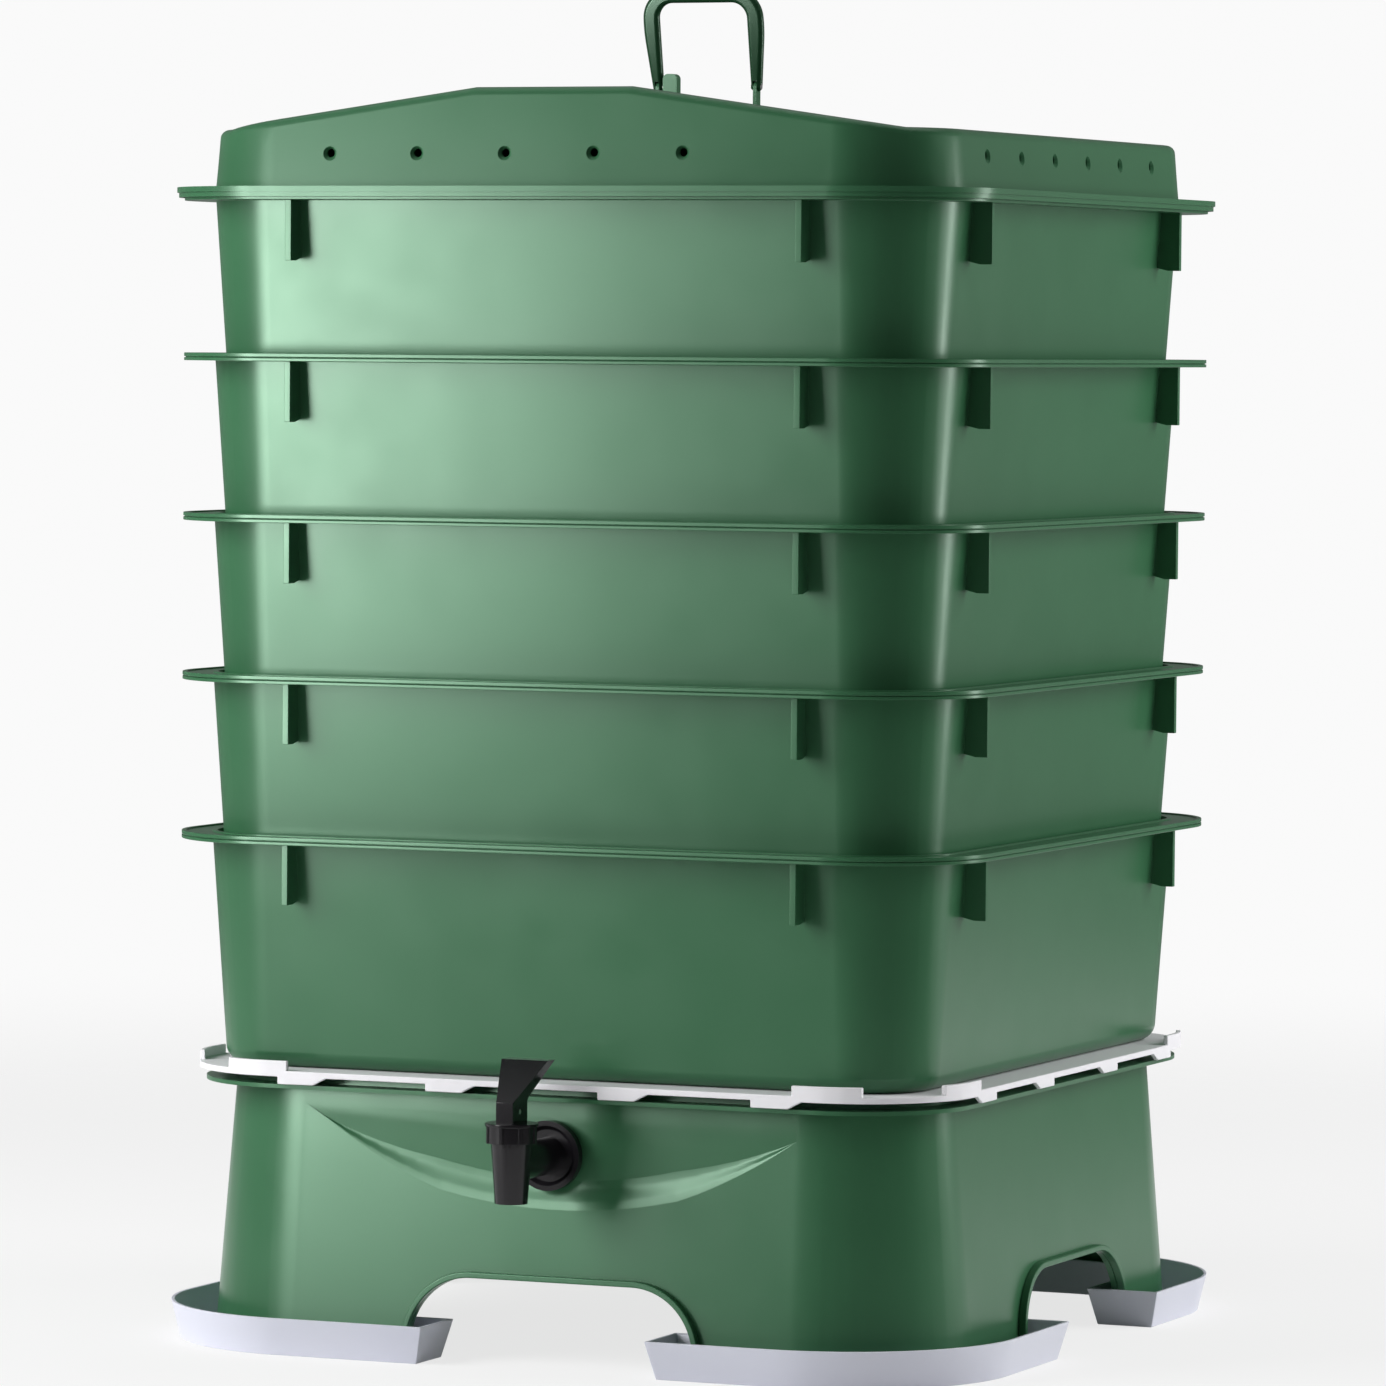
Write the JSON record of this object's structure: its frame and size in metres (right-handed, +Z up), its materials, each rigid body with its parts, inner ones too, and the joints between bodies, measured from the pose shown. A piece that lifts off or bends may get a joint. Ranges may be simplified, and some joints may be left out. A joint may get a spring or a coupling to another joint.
{
  "type": "wormery",
  "caption": "Square stacking wormery: nesting flanged trays under a gabled lid with a bail handle, on an arched collector stand with a tap, its legs in corner moat pans.",
  "frame": {"origin": "on the floor under the centre of the overall outline", "axes": "+Z up, the tap faces -Y, +X to the right seen from the front"},
  "size_m": [0.4418, 0.4706, 0.6711],
  "materials": {
    "green_plastic": "moulded dark green plastic with a soft sheen",
    "white_plastic": "white moulded plastic",
    "pan_plastic": "pale bluish-white moulded plastic",
    "black_plastic": "black moulded plastic",
    "seal_rubber": "black rubber",
    "steel": "plain steel"
  },
  "bodies": {
    "moats": {"moat_pan_front_right": "pan_plastic", "moat_pan_front_left": "pan_plastic", "moat_pan_rear_right": "pan_plastic", "moat_pan_rear_left": "pan_plastic"},
    "stand": {"collector_stand": "green_plastic", "arch_collar_front": "green_plastic", "arch_collar_rear": "green_plastic", "arch_collar_right": "green_plastic", "arch_collar_left": "green_plastic", "tap_body": "black_plastic", "tap_bonnet": "black_plastic", "tap_outer_washer": "seal_rubber", "tap_inner_washer": "seal_rubber", "tap_nut": "black_plastic", "tap_spring": "steel"},
    "frame": {"drain_frame": "white_plastic"},
    "tray_5": {"tray_5": "green_plastic"},
    "tray_4": {"tray_4": "green_plastic"},
    "tray_3": {"tray_3": "green_plastic"},
    "tray_2": {"tray_2": "green_plastic"},
    "tray_1": {"tray_1": "green_plastic"},
    "lid": {"lid": "green_plastic", "handle_pins": "steel"},
    "handle": {"handle": "green_plastic"},
    "stem": {"tap_stem": "black_plastic", "tap_seat_cup": "seal_rubber"},
    "lever": {"tap_lever": "black_plastic", "tap_lever_pin": "steel"}
  },
  "joints": [
    {"name": "stand_lift", "type": "slide", "parent": "moats", "child": "stand", "axis": [0, 0, 1], "range_m": [0, 0.04]},
    {"name": "frame_lift", "type": "slide", "parent": "stand", "child": "frame", "axis": [0, 0, 1], "range_m": [0, 0.03]},
    {"name": "tray_5_lift", "type": "slide", "parent": "frame", "child": "tray_5", "axis": [0, 0, 1], "range_m": [0, 0.08]},
    {"name": "tray_4_lift", "type": "slide", "parent": "tray_5", "child": "tray_4", "axis": [0, 0, 1], "range_m": [0, 0.08]},
    {"name": "tray_3_lift", "type": "slide", "parent": "tray_4", "child": "tray_3", "axis": [0, 0, 1], "range_m": [0, 0.08]},
    {"name": "tray_2_lift", "type": "slide", "parent": "tray_3", "child": "tray_2", "axis": [0, 0, 1], "range_m": [0, 0.08]},
    {"name": "tray_1_lift", "type": "slide", "parent": "tray_2", "child": "tray_1", "axis": [0, 0, 1], "range_m": [0, 0.08]},
    {"name": "lid_lift", "type": "slide", "parent": "tray_1", "child": "lid", "axis": [0, 0, 1], "range_m": [0, 0.08]},
    {"name": "handle_hinge", "type": "hinge", "parent": "lid", "child": "handle", "pos_m": [0, 0.01436, 0.6223], "axis": [1, 0, 0], "range_deg": [-106, 85]},
    {"name": "tap_stem_slide", "type": "slide", "parent": "stand", "child": "stem", "axis": [0, 0, 1], "range_m": [0, 0.0045], "deforming": ["tap_spring"]},
    {"name": "tap_lever_hinge", "type": "hinge", "parent": "stem", "child": "lever", "pos_m": [0.003, -0.22244, 0.1271], "axis": [1, 0, 0], "range_deg": [0, 30]}
  ],
  "couplings": [
    {"joint": "tap_lever_hinge", "follows": "tap_stem_slide", "rad_per_m": 116.36}
  ]
}
